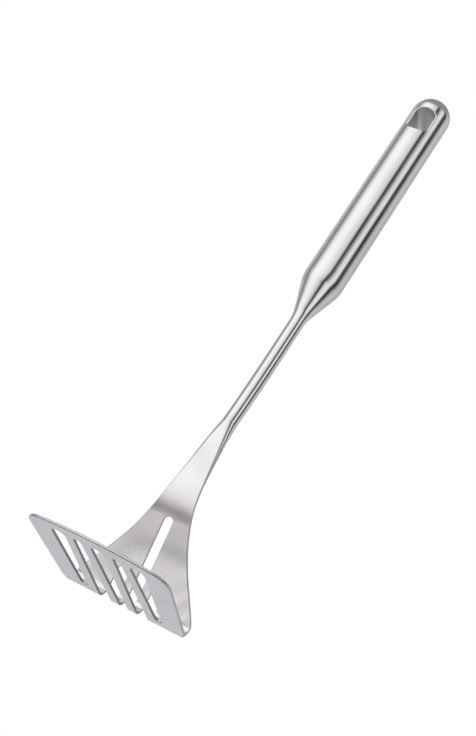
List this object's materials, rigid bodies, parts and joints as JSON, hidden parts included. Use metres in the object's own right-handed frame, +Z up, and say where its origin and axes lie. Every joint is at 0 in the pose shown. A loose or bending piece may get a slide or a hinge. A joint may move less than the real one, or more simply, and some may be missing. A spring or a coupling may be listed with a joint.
{
  "type": "potato masher",
  "caption": "Slotted rectangular mashing plate folded forward from a fan-shaped blade on a slim round shank and tapered tubular handle with a hanging eye.",
  "frame": {"origin": "middle of the outline seen from above, at the height of the mashing plate's working face", "axes": "+Z up along the handle, -Y towards the mashing plate's free front edge, X across the plate"},
  "size_m": [0.068, 0.0676, 0.301],
  "materials": {
    "handle_steel": "satin brushed stainless steel",
    "liner_steel": "polished rim, satin inside",
    "shank_steel": "satin brushed stainless steel",
    "sheet_steel": "matt brushed stainless sheet"
  },
  "bodies": {
    "root": {"handle_tube": "handle_steel", "end_cap": "handle_steel", "eye_liner": "liner_steel", "shank_rod": "shank_steel", "masher_blade": "sheet_steel"}
  },
  "joints": []
}
